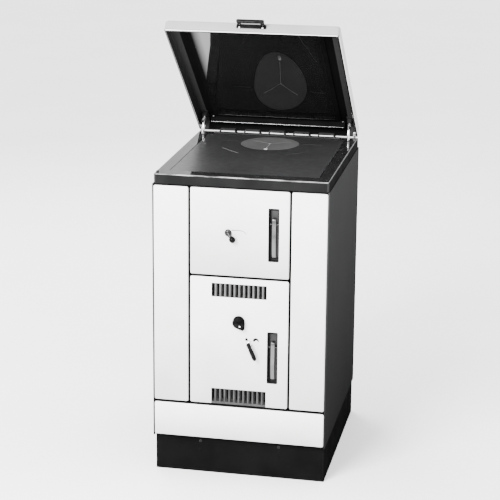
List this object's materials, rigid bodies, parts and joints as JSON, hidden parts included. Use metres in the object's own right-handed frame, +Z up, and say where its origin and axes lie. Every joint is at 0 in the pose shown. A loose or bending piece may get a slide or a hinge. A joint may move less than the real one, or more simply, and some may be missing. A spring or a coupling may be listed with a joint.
{
  "type": "wood-burning cookstove",
  "caption": "Free-standing wood-burning cookstove with a folding hob lid, a fuel door, an ash door with air controls, and a wood drawer above a set-back plinth.",
  "frame": {"origin": "on the floor, under the middle of the hob frame", "axes": "+Z up, the doors face -Y, +X is to the right of someone who faces the doors"},
  "size_m": [0.485, 0.6345, 1.2685],
  "materials": {
    "plinth_black": "satin",
    "side_enamel": "satin",
    "white_enamel": "gloss",
    "hob_enamel": "gloss",
    "hob_iron": "ground",
    "ring_iron": "ground",
    "cast_black": "rough",
    "sheet_black": "matt",
    "zinc_steel": "brushed",
    "chromed": "polished",
    "black_plastic": "gloss",
    "rubber": "matt",
    "seal_rope": "woven",
    "fire_clay": "rough",
    "lid_grey": "gloss",
    "grille_grey": "satin"
  },
  "bodies": {
    "stove": {"plinth": "plinth_black", "plinth_screws": "zinc_steel", "base_plate": "sheet_black", "side_panel_left": "side_enamel", "side_panel_right": "side_enamel", "back_panel": "sheet_black", "face_plate": "sheet_black", "front_panel_left": "white_enamel", "front_panel_right": "white_enamel", "door_hinge_plates": "sheet_black", "latch_keepers": "zinc_steel", "hob_frame": "hob_enamel", "hob_plate": "hob_iron", "rear_vent_rail": "hob_enamel", "lid_buffers": "rubber", "lid_hinge_lugs": "zinc_steel", "firebox_walls": "sheet_black", "ash_floor": "sheet_black", "grate_shelf": "cast_black", "firebricks": "fire_clay", "ash_pan": "sheet_black", "flue_collar": "cast_black", "drawer_runners": "zinc_steel"},
    "grate_set": {"grate": "cast_black", "shaker_rod": "zinc_steel"},
    "ring": {"ring_cover": "ring_iron"},
    "drawer": {"drawer_front": "white_enamel", "drawer_box": "sheet_black", "drawer_slides": "zinc_steel"},
    "fuel_door": {"fuel_door_panel": "white_enamel", "fuel_door_casting": "cast_black", "fuel_door_seal": "seal_rope", "fuel_door_pins": "zinc_steel", "fuel_handle_cup": "zinc_steel", "fuel_handle_pin": "chromed"},
    "fuel_lever": {"fuel_handle_lever": "chromed"},
    "secondary_air": {"secondary_air_lever": "chromed", "secondary_air_ball": "black_plastic"},
    "ash_door": {"ash_door_panel": "white_enamel", "ash_door_casting": "cast_black", "ash_door_seal": "seal_rope", "ash_door_pins": "zinc_steel", "ash_handle_cup": "zinc_steel", "ash_handle_pin": "chromed", "upper_grille": "grille_grey", "lower_grille": "grille_grey"},
    "ash_lever": {"ash_handle_lever": "chromed"},
    "draught": {"draught_knob": "black_plastic", "draught_spindle": "zinc_steel"},
    "primary_air": {"primary_air_lever": "chromed", "primary_air_grip": "black_plastic"},
    "lid": {"lid_shell": "lid_grey", "lid_stiffener": "zinc_steel", "lid_stiffener_screws": "zinc_steel", "lid_grip": "black_plastic", "lid_grip_screws": "zinc_steel", "lid_hinge_pins": "zinc_steel", "lid_stays": "chromed", "lid_stay_brackets": "sheet_black", "lid_stay_springs": "zinc_steel"}
  },
  "joints": [
    {"name": "lid_hinge", "type": "hinge", "parent": "stove", "child": "lid", "pos_m": [0, 0.2795, 0.868], "axis": [-1, 0, 0], "range_deg": [-39.7, 30.3]},
    {"name": "ring_lift", "type": "slide", "parent": "stove", "child": "ring", "axis": [0, 0, 1], "range_m": [0, 0.025]},
    {"name": "fuel_door_hinge", "type": "hinge", "parent": "stove", "child": "fuel_door", "pos_m": [-0.1205, -0.282, 0.7075], "axis": [0, 0, -1], "range_deg": [0, 100]},
    {"name": "fuel_lever_pivot", "type": "hinge", "parent": "fuel_door", "child": "fuel_lever", "pos_m": [0.0935, -0.28, 0.7355], "axis": [-1, 0, 0], "range_deg": [0, 25]},
    {"name": "secondary_air_turn", "type": "hinge", "parent": "fuel_door", "child": "secondary_air", "pos_m": [-0.031, -0.295, 0.7075], "axis": [0, -1, 0], "range_deg": [0, 80]},
    {"name": "ash_door_hinge", "type": "hinge", "parent": "stove", "child": "ash_door", "pos_m": [-0.1205, -0.282, 0.397], "axis": [0, 0, -1], "range_deg": [0, 100]},
    {"name": "ash_lever_pivot", "type": "hinge", "parent": "ash_door", "child": "ash_lever", "pos_m": [0.0935, -0.28, 0.3875], "axis": [-1, 0, 0], "range_deg": [0, 25]},
    {"name": "draught_turn", "type": "hinge", "parent": "ash_door", "child": "draught", "pos_m": [0, -0.3, 0.458], "axis": [0, -1, 0], "range_deg": [-200, 70]},
    {"name": "primary_air_turn", "type": "hinge", "parent": "ash_door", "child": "primary_air", "pos_m": [0.029, -0.3, 0.397], "axis": [0, -1, 0], "range_deg": [-52, 30]},
    {"name": "drawer_slide", "type": "slide", "parent": "stove", "child": "drawer", "axis": [0, -1, 0], "range_m": [0, 0.36]},
    {"name": "grate_shake", "type": "slide", "parent": "stove", "child": "grate_set", "axis": [0, 1, 0], "range_m": [-0.01, 0.01]}
  ]
}
